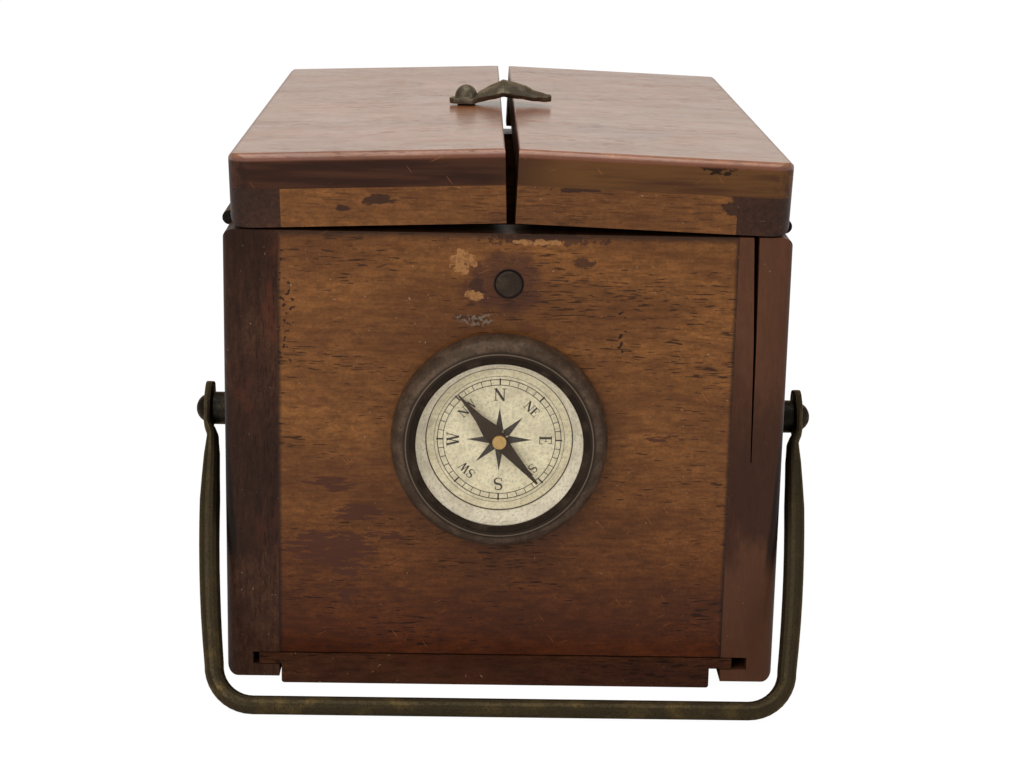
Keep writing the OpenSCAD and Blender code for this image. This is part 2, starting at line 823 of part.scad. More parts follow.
module bail() {
    last = len(bail_path) - 1;
    rings = [for (i = [0:last])
        let (p = bail_path[i], r = -p[1],
             ahead = bail_path[min(last, i + 1)], behind = bail_path[max(0, i - 1)],
             t = (ahead - behind) / norm(ahead - behind), n = [-t[1], t[0]])
        [for (k = [0:ring_sides - 1])
            let (a = 360 * k / ring_sides,
                 u = half_thick(r) * bulge(cos(a), r), v = half_across(r) * bulge(sin(a), r))
            [p[0] + n[0] * u, v, p[1] + n[1] * u]]];
    color(brass_colour) translate([0, pivot_y, pivot_z]) rotate([-bail_turn, 0, 0]) difference() {
        tube_of_rings(rings, ring_sides);
        for (s = [-1, 1]) translate([s * eye_x - 3, 0, 0]) rotate([0, 90, 0]) cylinder(r = eye_bore, h = 6);
    }
}

side_left();
side_right();
front_board();
back_board();
case_hinge_leaves();
case_hinge_screws();
bail_bosses();
bail_screws();
compass_bowl();
bezel();
glass_ring();
glass();
reflector_ring();
dial_plate();
spindle();
lock_ring();
button_bush();
lever_bracket();
lever_pin();
bracket_screws();
floor_panel();
lid_left_top();
lid_left_side();
lid_left_front();
lid_left_back();
lid_left_hinge_leaves();
lid_left_hinge_screws();
lid_left_hinge_pins();
latch_washer();
latch_screw();
latch();
lid_right_top();
lid_right_side();
lid_right_front();
lid_right_back();
lid_right_hinge_leaves();
lid_right_hinge_screws();
lid_right_hinge_pins();
bail();
button();
button_spring();
arrest_lever();
lift_sleeve();
needle();
needle_cap();
cap_jewel();
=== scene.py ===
"""Looks of a handheld bearing compass: a worn wooden box, its lid in two halves, with a
small compass let into the front, brass fittings and a wire bail. Lengths named here are in
millimetres and are turned into metres where the meshes are made."""
import math

import bmesh
import bpy
from mathutils import Matrix, Vector


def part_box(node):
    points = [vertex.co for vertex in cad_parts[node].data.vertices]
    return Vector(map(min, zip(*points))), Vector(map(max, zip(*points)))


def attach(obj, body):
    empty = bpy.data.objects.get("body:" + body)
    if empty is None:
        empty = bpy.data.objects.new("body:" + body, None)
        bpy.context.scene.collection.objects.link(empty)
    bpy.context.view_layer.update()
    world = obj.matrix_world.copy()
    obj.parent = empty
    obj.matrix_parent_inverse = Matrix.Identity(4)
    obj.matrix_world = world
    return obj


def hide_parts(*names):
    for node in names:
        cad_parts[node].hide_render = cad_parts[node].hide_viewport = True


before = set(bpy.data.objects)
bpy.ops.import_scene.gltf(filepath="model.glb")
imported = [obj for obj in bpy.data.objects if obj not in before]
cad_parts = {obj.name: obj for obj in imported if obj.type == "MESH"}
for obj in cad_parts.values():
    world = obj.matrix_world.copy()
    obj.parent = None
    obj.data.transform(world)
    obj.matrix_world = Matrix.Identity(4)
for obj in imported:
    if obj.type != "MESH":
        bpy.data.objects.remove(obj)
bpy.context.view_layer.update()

MM = 0.001

case_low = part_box("side_left")[0]
case_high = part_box("side_right")[1]
front_low, front_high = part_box("front_board")
lid_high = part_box("lid_right_top")[1]
dial_low, dial_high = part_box("dial_plate")
dial_centre = (dial_low + dial_high) / 2
dial_face = dial_low.y


# ---- Camera, light and stage ----

CAMERA_FROM_FRONT = Vector((-6.6, -381.6, 154.9)) * MM
CAMERA_YAW = 0.0202
CAMERA_PITCH = 0.2495
CAMERA_ROLL = 0.0205
CAMERA_LENS = 77.34
SENSOR = 36.0

# How bright the surround is to light and reflections, and how far the lid halves tilt at rest, in degrees
SURROUND = 0.36
LID_AJAR = 2.0

# Name, place and size in metres, power in watts and colour
LIGHT_TARGET = (0, 0, 0.05)
LIGHTS = (("overhead", (-0.10, -0.15, 0.9), (0.8, 0.8), 4.6, (1, 1, 1)),
          ("front_left", (-0.6, -1.0, 0.55), (0.6, 0.6), 4.2, (1, 1, 1)),
          ("front_right", (0.9, -0.8, 0.45), (0.5, 0.5), 1.6, (1, 1, 1)),
          ("behind", (0.0, 1.5, 0.62), (2.4, 0.75), 2.95, (1.0, 0.90, 0.76)))
FLOOR_HALF = 3.0
FLOOR_GLOW = 1.06
FLOOR_GLOW_SHARE = 0.92


def make_camera():
    """Looks from in front and a little above, turned by yaw, pitch and roll in radians."""
    yaw, pitch, roll = CAMERA_YAW, CAMERA_PITCH, CAMERA_ROLL
    ahead = Vector((math.sin(yaw) * math.cos(pitch), math.cos(yaw) * math.cos(pitch), -math.sin(pitch)))
    right = Vector((math.cos(yaw), -math.sin(yaw), 0))
    up = right.cross(ahead)
    turned_right = math.cos(roll) * right + math.sin(roll) * up
    turned_up = math.cos(roll) * up - math.sin(roll) * right
    data = bpy.data.cameras.new("camera")
    data.lens = CAMERA_LENS
    data.sensor_width = SENSOR
    data.clip_start = 0.01
    camera = bpy.data.objects.new("camera", data)
    turn = Matrix((turned_right, turned_up, -ahead)).transposed().to_4x4()
    place = CAMERA_FROM_FRONT + Vector((0, case_low.y, 0))
    camera.matrix_world = Matrix.Translation(place) @ turn
    bpy.context.scene.collection.objects.link(camera)
    bpy.context.scene.camera = camera


def area_light(name, place, size, power, colour):
    data = bpy.data.lights.new(name, "AREA")
    data.shape = "RECTANGLE"
    data.size, data.size_y = size
    data.energy = power
    data.color = colour
    light = bpy.data.objects.new(name, data)
    light.location = place
    light.rotation_euler = (Vector(LIGHT_TARGET) - Vector(place)).to_track_quat("-Z", "Y").to_euler()
    bpy.context.scene.collection.objects.link(light)


def seen_by_camera(nodes):
    """1 where the camera looks straight at something, 0 where light or a reflection does."""
    return nodes.new("ShaderNodeLightPath").outputs["Is Camera Ray"]


def make_stage():
    """A white floor and surround, and soft light from above, in front and behind."""
    world = bpy.data.worlds.new("studio")
    world.use_nodes = True
    nodes, links = world.node_tree.nodes, world.node_tree.links
    nodes["Background"].inputs["Color"].default_value = (1, 1, 1, 1)
    strength = nodes.new("ShaderNodeMath")
    strength.operation = "MULTIPLY_ADD"
    links.new(seen_by_camera(nodes), strength.inputs[0])
    strength.inputs[1].default_value = 1.0 - SURROUND
    strength.inputs[2].default_value = SURROUND
    links.new(strength.outputs[0], nodes["Background"].inputs["Strength"])
    bpy.context.scene.world = world
    bpy.context.scene.view_settings.view_transform = "Standard"

    floor = bpy.data.objects.new("floor", bpy.data.meshes.new("floor"))
    shape = bmesh.new()
    corners = ((-1, -1), (1, -1), (1, 1), (-1, 1))
    shape.faces.new([shape.verts.new((x * FLOOR_HALF, y * FLOOR_HALF, 0)) for x, y in corners])
    shape.to_mesh(floor.data)
    shape.free()
    bpy.context.scene.collection.objects.link(floor)
    pale = bpy.data.materials.new("pale_floor")
    pale.use_nodes = True
    nodes, links = pale.node_tree.nodes, pale.node_tree.links
    nodes["Principled BSDF"].inputs["Base Color"].default_value = (0.85, 0.85, 0.85, 1)
    nodes["Principled BSDF"].inputs["Roughness"].default_value = 0.9
    glow = nodes.new("ShaderNodeEmission")
    glow.inputs["Strength"].default_value = FLOOR_GLOW
    share = nodes.new("ShaderNodeMath")
    share.operation = "MULTIPLY"
    share.inputs[1].default_value = FLOOR_GLOW_SHARE
    links.new(seen_by_camera(nodes), share.inputs[0])
    blend = nodes.new("ShaderNodeMixShader")
    links.new(share.outputs[0], blend.inputs[0])
    links.new(nodes["Principled BSDF"].outputs[0], blend.inputs[1])
    links.new(glow.outputs[0], blend.inputs[2])
    links.new(blend.outputs[0], nodes["Material Output"].inputs["Surface"])
    floor.data.materials.append(pale)

    for light in LIGHTS:
        area_light(*light)


# ---- Materials ----

WARM_SHEEN = (1.0, 0.80, 0.62)


def scaled(colour, share):
    return tuple(part * share for part in colour)


class Look:
    """A material under construction, with one short call per shader node."""

    def __init__(self, name, **shader):
        self.material = bpy.data.materials.new(name)
        self.material.use_nodes = True
        self.nodes = self.material.node_tree.nodes
        self.links = self.material.node_tree.links
        self.shader = self.nodes["Principled BSDF"]
        for socket, value in shader.items():
            self.set(socket.replace("_", " ").title().replace("Ior", "IOR"), value)

    def put(self, socket, value):
        if isinstance(value, bpy.types.NodeSocket):
            self.links.new(value, socket)
        elif isinstance(value, tuple) and len(value) == 3 and len(socket.default_value) == 4:
            socket.default_value = (*value, 1)
        else:
            socket.default_value = value

    def set(self, socket, value):
        self.put(self.shader.inputs[socket], value)

    def math(self, operation, *values):
        node = self.nodes.new("ShaderNodeMath")
        node.operation = operation
        for socket, value in zip(node.inputs, values):
            self.put(socket, value)
        return node.outputs[0]

    def product(self, first, *others):
        for other in others:
            first = self.math("MULTIPLY", first, other)
        return first

    def mix(self, share, a, b, blend="MIX"):
        node = self.nodes.new("ShaderNodeMix")
        node.data_type = "RGBA"
        node.blend_type = blend
        self.put(node.inputs["Factor"], share)
        self.put(node.inputs[6], a)
        self.put(node.inputs[7], b)
        return node.outputs[2]

    def tint(self, share, amount, colour, mark):
        """Lays a mark's colour over another where share is 1, at most by amount."""
        return self.mix(self.product(share, amount), colour, mark)

    def step(self, value, low, high, to_low=0.0, to_high=1.0):
        """Goes smoothly from to_low to to_high as value goes from low to high."""
        node = self.nodes.new("ShaderNodeMapRange")
        node.interpolation_type = "SMOOTHSTEP"
        for socket, number in zip(node.inputs, (value, low, high, to_low, to_high)):
            self.put(socket, number)
        return node.outputs[0]

    def millimetres(self):
        """Place on the object at rest, in millimetres."""
        place = self.nodes.new("ShaderNodeTexCoord").outputs["Object"]
        node = self.nodes.new("ShaderNodeVectorMath")
        node.operation = "SCALE"
        self.put(node.inputs[0], place)
        node.inputs["Scale"].default_value = 1 / MM
        return node.outputs[0]

    def split(self, vector):
        node = self.nodes.new("ShaderNodeSeparateXYZ")
        self.put(node.inputs[0], vector)
        return node.outputs

    def join(self, x, y, z):
        node = self.nodes.new("ShaderNodeCombineXYZ")
        for socket, value in zip(node.inputs, (x, y, z)):
            self.put(socket, value)
        return node.outputs[0]

    def noise(self, vector, scale=1.0, detail=2.0, roughness=0.5):
        node = self.nodes.new("ShaderNodeTexNoise")
        self.put(node.inputs["Vector"], vector)
        node.inputs["Scale"].default_value = scale
        node.inputs["Detail"].default_value = detail
        node.inputs["Roughness"].default_value = roughness
        return node.outputs[0]

    def bump(self, height, distance, strength):
        node = self.nodes.new("ShaderNodeBump")
        self.put(node.inputs["Height"], height)
        node.inputs["Distance"].default_value = distance * MM
        node.inputs["Strength"].default_value = strength
        return node.outputs[0]

    def stretched(self, parts, order, along, across, seed):
        """Coordinates drawn out along the grain, which runs along the first axis in order."""
        scales = (along, across, across)
        return self.join(*(
            self.math("MULTIPLY_ADD", parts[axis], scales[place], seed * (1.7 + place))
            for place, axis in enumerate(order)
        ))

    def away_from(self, parts, x, z):
        """Distance from an axis that runs from front to back."""
        dx = self.math("SUBTRACT", parts[0], x)
        dz = self.math("SUBTRACT", parts[2], z)
        return self.math("SQRT", self.math("ADD", self.math("POWER", dx, 2.0), self.math("POWER", dz, 2.0)))

    def island(self, parts, axes, centre, radii, seed, size=(0.3, 0.3), share=0.5, soft=0.03):
        """Ragged islands in an oval. size is how fine they are on each axis, share how full the oval is."""
        far = 0.0
        for axis, middle, radius in zip(axes, centre, radii):
            away = self.math("DIVIDE", self.math("SUBTRACT", parts[axis], middle), radius)
            far = self.math("ADD", far, self.math("MULTIPLY", away, away))
        spread = (self.product(parts[axis], fineness) for axis, fineness in zip(axes, size))
        wave = self.noise(self.join(*spread, seed), 1, 5, 0.62)
        level = self.math("ADD", self.product(far, 0.22), self.math("SUBTRACT", wave, share))
        return self.step(level, 0.06 - soft, 0.06 + soft, 1.0, 0.0)


def wood(name, grain, light, dark, film, seed, pores=0.8, gloss=0.08, sheen=0.16, patches=0.35,
         lid_board=False, marks=()):
    """Old varnished hardwood. grain is the axis that it runs along, 0 to 2, and film stains it in patches."""
    look = Look(name, specular_ior_level=sheen)
    place = look.millimetres()
    parts = look.split(place)
    order = (grain, (grain + 1) % 3, (grain + 2) % 3)

    def waves(along, across, shift, detail, roughness=0.5):
        return look.noise(look.stretched(parts, order, along, across, seed + shift), 1, detail, roughness)

    fine = waves(0.20, 1.2, 3, 3, 0.65)
    cloud = waves(0.05, 0.11, 17, 5, 0.65)
    mottle = waves(0.5, 0.9, 23, 4, 0.7)
    grit = look.noise(place, 1.7, 3, 0.7)
    speck = look.noise(place, 1.3, 2, 0.6)
    pore_level = look.step(waves(0.03, 0.09, 11, 2), 0.3, 0.7, 0.74, 0.57)
    pore = look.step(look.math("SUBTRACT", waves(0.34, 3.3, 7, 1.5), pore_level), 0.0, 0.06)

    colour = look.mix(look.step(waves(0.026, 0.09, 0, 4, 0.6), 0.34, 0.68), light, dark)
    colour = look.mix(look.step(fine, 0.35, 0.75, 0.0, 0.5), colour, dark, "MULTIPLY")
    colour = look.mix(look.step(mottle, 0.35, 0.70, 0.0, 0.55), colour, scaled(dark, 0.55))
    colour = look.mix(look.step(grit, 0.35, 0.65, 0.0, 0.30), colour, scaled(dark, 0.4))
    colour = look.tint(look.step(cloud, 0.60 - 0.1 * patches, 0.66 - 0.1 * patches), patches, colour, film)
    colour = look.tint(pore, pores, colour, scaled(dark, 0.22))
    colour = look.mix(look.step(speck, 0.735, 0.76, 0, 0.6), colour, (0.42, 0.30, 0.18))
    for mark in marks:
        colour = mark(look, parts, colour)
    look.set("Base Color", look.tint(scratches(look, parts, seed), 0.22, colour, scaled(light, 1.6)))

    rough = look.step(cloud, 0.3, 0.7, 0.46, 0.32)
    look.set("Roughness", look.math("ADD", rough, look.product(pore, 0.2)))
    look.set("Coat Roughness", 0.2)
    if lid_board:
        face = look.step(depth_under_lid(look, parts), 1.1, 1.5, 1.0, 0.0)
        worn = look.step(waves(0.12, 0.45, 31, 5, 0.7), 0.40, 0.66, 1.0, 0.66)
        whole = look.product(worn, look.math("SUBTRACT", 1.0, look.product(pore, 0.6)))
        look.set("Coat Weight", look.product(whole, look.product(face, gloss)))
        look.set("Specular IOR Level", look.step(face, 0, 1, 0.14, sheen))
        look.set("Specular Tint", (1.0, 0.88, 0.78))
    else:
        look.set("Coat Weight", gloss)
    relief = look.math("ADD", look.product(pore, -1.0), look.product(fine, 0.35))
    look.set("Normal", look.bump(relief, 0.06, 0.7))
    return look.material


def depth_under_lid(look, parts):
    """How far a place lies under the tilted top plane of the lid half that it is on."""
    lean = math.tan(math.radians(LID_AJAR))
    top_at_hinge = lid_high.z / MM - (case_high.x / MM - 1) * lean
    reach = look.math("SUBTRACT", case_high.x / MM, look.math("ABSOLUTE", parts[0]))
    return look.math("SUBTRACT", look.math("ADD", look.product(reach, lean), top_at_hinge), parts[2])


def scratches(look, parts, seed):
    """Thin rubbed lines in two directions, here and there."""
    total = 0.0
    across = look.math("ADD", parts[0], look.product(parts[1], 0.7))
    for turn, shift in ((0.42, 0.0), (-0.95, 40.0)):
        c, s = math.cos(turn), math.sin(turn)
        u = look.math("ADD", look.product(across, c), look.product(parts[2], s))
        v = look.math("SUBTRACT", look.product(parts[2], c), look.product(across, s))
        line = look.noise(look.join(look.product(u, 0.22), look.product(v, 3.6), seed + shift), 1, 0)
        total = look.math("MAXIMUM", total, look.step(line, 0.82, 0.86))
    return total


def metal(name, bright, dull, seed, wear=(0.45, 0.7), rough=(0.36, 0.6), metallic=0.85, low_wear=None,
          shine=0.3):
    """Patinated metal: dull where the film is whole, bright where it is rubbed."""
    look = Look(name, metallic=metallic, specular_ior_level=shine, specular_tint=WARM_SHEEN)
    place = look.millimetres()
    parts = look.split(place)
    shifted = look.join(parts[0], parts[1], look.math("ADD", parts[2], seed * 13.7))
    worn = look.step(look.noise(shifted, 0.22, 5, 0.62), *wear)
    if low_wear:
        worn = look.product(worn, look.step(parts[2], *low_wear))
    fine = look.noise(place, 2.6, 3, 0.6)
    colour = look.mix(worn, dull, bright)
    look.set("Base Color", look.mix(look.step(fine, 0.45, 0.75, 0.0, 0.55), colour, scaled(dull, 0.35)))
    look.set("Roughness", look.step(fine, 0.3, 0.7, *rough))
    look.set("Normal", look.bump(fine, 0.03, 0.5))
    return look.material


def bezel_bronze():
    """Blackened brass turned in rings: a dark step beside the glass, a painted highlight along the lip and a
    worn brown dome.
    """
    step_r, lip_r = 16.9, 16.75
    look = Look("dark_bronze", metallic=0.2, specular_ior_level=0.3, specular_tint=WARM_SHEEN)
    place = look.millimetres()
    radius = look.away_from(look.split(place), bezel_centre.x, bezel_centre.z)
    from_lip = look.math("ABSOLUTE", look.math("SUBTRACT", radius, lip_r))
    fine = look.noise(place, 2.4, 3, 0.65)
    worn = look.step(look.noise(place, 0.35, 4, 0.65), 0.4, 0.65)
    colour = look.mix(worn, (0.052, 0.031, 0.019), (0.100, 0.062, 0.040))
    colour = look.mix(look.step(fine, 0.48, 0.70, 0.0, 0.6), colour, (0.018, 0.012, 0.009))
    colour = look.mix(look.step(radius, step_r, step_r + 0.7, 0.9, 0.0), colour, (0.012, 0.008, 0.005))
    # Painted highlight: a bright line round the lip.
    colour = look.mix(look.step(from_lip, 0.06, 0.16, 0.75, 0.0), colour, (0.17, 0.12, 0.085))
    look.set("Base Color", colour)
    look.set("Roughness", look.step(fine, 0.3, 0.7, 0.34, 0.52))
    look.set("Normal", look.bump(fine, 0.03, 0.5))
    return look.material


def printed_card(name, paper, stain, seed):
    """Foxed card, stained in clouds and speckled."""
    look = Look(name, roughness=0.6, specular_ior_level=0.2)
    place = look.millimetres()
    grain = look.noise(place, 1.7, 4, 0.75)
    cloud = look.noise(place, 0.21 + seed * 0.01, 4, 0.65)
    colour = look.mix(look.step(cloud, 0.36, 0.66, 0, 0.8), paper, stain)
    colour = look.mix(look.step(grain, 0.47, 0.60, 0, 0.5), colour, scaled(stain, 0.70))
    colour = look.mix(look.step(grain, 0.62, 0.70, 0, 0.7), colour, scaled(stain, 0.45))
    look.set("Base Color", colour)
    look.set("Normal", look.bump(grain, 0.01, 0.3))
    return look.material


def ink_and_shadow(name, colour):
    """Printing ink, faded here and there; it also colours the painted shadow line on the dial."""
    look = Look(name, roughness=0.65)
    fade = look.noise(look.millimetres(), 3.1, 2, 0.6)
    look.set("Base Color", look.mix(look.step(fade, 0.4, 0.75, 0, 0.5), colour, scaled(colour, 2.4)))
    return look.material


def clear_glass(name):
    look = Look(name, alpha=0.03, ior=1.5, base_color=(0.35, 0.27, 0.19))
    haze = look.noise(look.millimetres(), 0.35, 3, 0.6)
    look.set("Roughness", look.step(haze, 0.3, 0.7, 0.03, 0.12))
    return look.material


def jewel(name):
    look = Look(name, ior=1.7)
    cloud = look.noise(look.millimetres(), 3.0, 2)
    look.set("Base Color", look.mix(cloud, (0.25, 0.01, 0.02), (0.45, 0.03, 0.04)))
    look.set("Roughness", look.step(cloud, 0.3, 0.7, 0.05, 0.15))
    return look.material


# ---- Marks that this box has picked up, and painted shade ----
# A mark's row starts with its place across and up, then its half width and half height, in millimetres.
# Places are measured from the button's or the bezel's centre, or from the frame's origin where said.

button_low, button_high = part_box("button")
button_centre = (button_low + button_high) / 2 / MM
BUTTON_FACE_SHARE = 0.8
button_face_r = (button_high.x - button_low.x) / 2 / MM * BUTTON_FACE_SHARE
bezel_centre = sum(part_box("bezel"), Vector()) / 2 / MM

# Colour of the dirt by the button, also used for the painted shade round the bezel.
GRIME_AND_SHADE = (0.040, 0.014, 0.008)
GRIME_BY_BUTTON = ((-5.6, -0.4, 1.6, 2.4, 5.0, 0.8), (13.0, 4.0, 2.6, 1.2, 6.0, 0.75),
                   (6.0, 8.0, 14.0, 1.3, 7.0, 0.75), (-7.0, -6.3, 3.6, 0.9, 8.0, 0.5))
CHIPS_BY_BUTTON = ((-8.3, 4.0, 2.6, 2.2, 21.0), (-5.6, -2.2, 2.4, 0.9, 22.3), (5.0, 7.6, 5.0, 0.6, 23.1))
VARNISH_BY_BEZEL = ((-30.5, -21.0, 9.5, 3.6, 8.0, 0.57), (-25.0, -14.4, 4.6, 2.0, 9.4, 0.59),
                    (-30.0, -9.0, 5.6, 1.8, 11.7, 0.53), (-26.5, -24.6, 4.0, 2.4, 10.2, 0.55),
                    (-27.5, -30.0, 1.6, 1.5, 10.9, 0.57), (-20.0, -18.5, 5.0, 1.6, 14.1, 0.47),
                    (30.0, 0.5, 7.0, 1.2, 12.9, 0.47))
WORM_HOLES = ((-40.0, 72.0, 2.2, 13.0), (20.3, 67.0, 1.3, 5.0))
STRIP_NICKS = ((-23.0, 90.6, 4.0, 1.3, 51.0), (-29.0, 89.0, 2.0, 0.6, 52.0), (40.0, 91.5, 3.0, 3.2, 53.0),
               (12.0, 93.0, 5.0, 0.6, 54.0))
# These lie on the lid's top, so their second place and size run from front to back.
TOP_CLOUDS = ((-24.0, -46.0, 20.0, 12.0, 41.0, (0.34, 0.10, 0.045)),
              (-36.0, -10.0, 8.0, 24.0, 42.0, (0.36, 0.13, 0.07)),
              (26.0, 20.0, 20.0, 30.0, 43.0, (0.33, 0.11, 0.05)),
              (22.0, -40.0, 14.0, 16.0, 44.0, (0.12, 0.05, 0.03)),
              (-12.0, 30.0, 8.0, 16.0, 45.0, (0.40, 0.16, 0.09)))


def grime_and_shade_near_fittings(look, parts, colour):
    """Dark staining round the button and above it along the seam, painted shade in the gap round the button,
    and painted shade round the bezel.
    """
    x, z = button_centre.x, button_centre.z
    halo = look.island(parts, (0, 2), (x - 0.6, z + 0.2), (6.5, 5.2), 3.0, (0.25, 0.25), 0.70, 0.14)
    colour = look.tint(halo, 0.70, colour, (0.055, 0.017, 0.009))
    for dx, dz, rx, rz, seed, amount in GRIME_BY_BUTTON:
        here = look.island(parts, (0, 2), (x + dx, z + dz), (rx, rz), seed, (0.5, 0.6), 0.55)
        colour = look.tint(here, amount, colour, GRIME_AND_SHADE)
    # Painted shade: a near-black ring in the gap round the button.
    gap = look.step(look.away_from(parts, x, z), button_face_r + 0.25, button_face_r + 0.6, 1.0, 0.0)
    colour = look.tint(gap, 0.95, colour, (0.004, 0.002, 0.002))
    # Painted shade under and round the bezel, in the grime colour.
    below = (bezel_centre.x, bezel_centre.z - 0.4)
    shade = look.island(parts, (0, 2), below, (12.6, 12.4), 9.0, (0.1, 0.1), 0.52, 0.22)
    return look.tint(shade, 0.55, colour, GRIME_AND_SHADE)


def painted_low_shade(look, parts, colour):
    """Painted shade: the lower part of the front is darker and redder, and darker again near its foot."""
    low, high = front_low.z / MM, front_high.z / MM
    half_down = look.step(parts[2], low + 6, high * 0.62, 0.95, 0.0)
    colour = look.mix(half_down, colour, (0.52, 0.38, 0.26), "MULTIPLY")
    at_foot = look.step(parts[2], low - 4, low + 19, 0.85, 0.0)
    return look.mix(at_foot, colour, (0.56, 0.36, 0.28), "MULTIPLY")


def pale_chips(look, parts, colour):
    """Small places beside the button where the varnish has chipped off."""
    x, z = button_centre.x, button_centre.z
    for dx, dz, rx, rz, seed in CHIPS_BY_BUTTON:
        here = look.island(parts, (0, 2), (x + dx, z + dz), (rx, rz), seed, (0.55, 0.6), 0.60, 0.02)
        colour = look.tint(here, 0.9, colour, (0.36, 0.165, 0.055))
        inside = look.noise(look.join(parts[0], parts[1], look.math("ADD", parts[2], seed)), 1.4, 3, 0.6)
        flecks = look.product(here, look.step(inside, 0.52, 0.60))
        colour = look.tint(flecks, 0.6, colour, (0.16, 0.058, 0.020))
    return colour


def grey_scuffs(look, parts, colour):
    """A scuffed greyish place between the button and the bezel."""
    middle = (button_centre.x - 5.8, button_centre.z - 6.6)
    here = look.island(parts, (0, 2), middle, (4.0, 1.1), 61.0, (0.4, 0.5), 0.62, 0.08)
    fleck = look.noise(look.join(*parts), 1.6, 3, 0.6)
    colour = look.tint(look.product(here, look.step(fleck, 0.50, 0.56)), 0.8, colour, (0.19, 0.155, 0.12))
    return look.tint(look.product(here, look.step(fleck, 0.44, 0.38)), 0.6, colour, (0.03, 0.015, 0.010))


def varnish_remains(look, parts, colour):
    """Red-brown islands of old varnish, most of them low on the left, drawn out along the grain."""
    x, z = bezel_centre.x, bezel_centre.z
    for dx, dz, rx, rz, seed, share in VARNISH_BY_BEZEL:
        here = look.island(parts, (0, 2), (x + dx, z + dz), (rx, rz), seed, (0.24, 1.45), share, 0.008)
        colour = look.tint(here, 0.88, colour, (0.066, 0.019, 0.009))
    return colour


def worm_dots(look, parts, colour):
    """Strings of small dark dots, high on the left edge and right of the compass."""
    dots = look.noise(look.join(*parts), 1.15, 1, 0.4)
    for x, z, rx, rz in WORM_HOLES:
        here = look.island(parts, (0, 2), (x, z), (rx, rz), 2.0, (0.1, 0.1), 0.62, 0.1)
        holes = look.product(here, look.step(dots, 0.60, 0.64))
        colour = look.tint(holes, 0.9, colour, (0.010, 0.004, 0.003))
    return colour


def dark_seams(look, parts, colour):
    """Darker along the edges of the front board."""
    half = front_high.x / MM
    side = look.step(look.math("ABSOLUTE", parts[0]), half - 0.9, half - 0.1)
    top = look.step(parts[2], front_high.z / MM - 1.6, front_high.z / MM)
    return look.tint(look.math("MAXIMUM", side, top), 0.8, colour, (0.012, 0.005, 0.003))


def dark_ends(look, parts, colour):
    """The lid boards' edges are far darker than their tops, with a reddish band between the two along the
    rounded edge.
    """
    depth = depth_under_lid(look, parts)
    colour = look.mix(look.step(depth, 0.25, 1.0, 0.0, 0.85), colour, (0.130, 0.034, 0.014))
    drawn_out = look.join(look.product(parts[0], 0.04), parts[1], look.product(parts[2], 0.5))
    wave = look.noise(drawn_out, 1, 3, 0.6)
    edge = look.mix(look.step(wave, 0.35, 0.65), (0.062, 0.023, 0.012), (0.030, 0.011, 0.007))
    right = look.product(look.step(parts[0], -5.0, 12.0), look.step(wave, 0.3, 0.6))
    edge = look.tint(right, 0.75, edge, (0.155, 0.066, 0.020))
    spots = look.island(parts, (0, 2), (37.2, 97.6), (5.0, 1.7), 33.0, (0.4, 0.8), 0.60)
    edge = look.tint(spots, 0.9, edge, (0.008, 0.004, 0.003))
    return look.mix(look.step(depth, 1.0, 1.7), colour, edge)


def top_blemishes(look, parts, colour):
    """Cloudy rubbed and reddish places on the lid's top."""
    for x, y, rx, ry, seed, mark in TOP_CLOUDS:
        here = look.island(parts, (0, 1), (x, y), (rx, ry), seed, (0.16, 0.10), 0.52, 0.05)
        colour = look.tint(here, 0.45, colour, mark)
    return colour


def redder_right_and_painted_side_shade(look, parts, colour):
    """The right board is redder. Painted shade makes both darker half-way up, and a painted shadow of the
    bail's arms darkens their outer corners near the front.
    """
    right = look.step(parts[0], -5.0, 5.0)
    colour = look.tint(right, 0.5, colour, (0.145, 0.056, 0.027))
    # Painted shade half-way up the sides, where the bail's pivots are.
    drawn_out = look.join(look.product(parts[0], 0.2), parts[1], look.product(parts[2], 0.09))
    height = look.math("ADD", parts[2], look.product(look.noise(drawn_out, 1, 4, 0.6), 34.0))
    middle = look.product(look.step(height, 40.0, 50.0), look.step(height, 62.0, 84.0, 1.0, 0.0))
    colour = look.tint(middle, 0.6, colour, (0.016, 0.006, 0.004))
    # Painted shadow of the bail's arms along the outer corners, near the front.
    slant = look.math("MULTIPLY_ADD", parts[2], 0.075, case_high.x / MM - 4.3)
    outside = look.step(look.math("SUBTRACT", look.math("ABSOLUTE", parts[0]), slant), -0.2, 0.5)
    band = look.product(look.step(parts[2], 20.0, 27.0), look.step(parts[2], 50.0, 60.0, 1.0, 0.0))
    near = look.step(parts[1], case_low.y / MM + 1.0, case_low.y / MM + 7.0, 1.0, 0.0)
    return look.tint(look.product(outside, band, near), 0.85, colour, (0.006, 0.004, 0.003))


def strip_marks(look, parts, colour):
    """Dark nicks on the lid's light strips, and dirt at their ends."""
    for x, z, rx, rz, seed in STRIP_NICKS:
        here = look.island(parts, (0, 2), (x, z), (rx, rz), seed, (0.3, 0.6), 0.57)
        colour = look.tint(here, 0.85, colour, (0.030, 0.011, 0.006))
    return colour


# ---- Modelled pieces ----


def new_piece(name, shape, material, body, smooth=True):
    """Makes an object of a bmesh in millimetres and lets it ride on a body."""
    data = bpy.data.meshes.new(name)
    bmesh.ops.scale(shape, vec=(MM, MM, MM), verts=shape.verts)
    bmesh.ops.recalc_face_normals(shape, faces=shape.faces)
    shape.to_mesh(data)
    shape.free()
    piece = bpy.data.objects.new(name, data)
    bpy.context.scene.collection.objects.link(piece)
    data.materials.append(material)
    for face in data.polygons:
        face.use_smooth = smooth
    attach(piece, body)
    return piece


PRINT_RAISE = 0.02


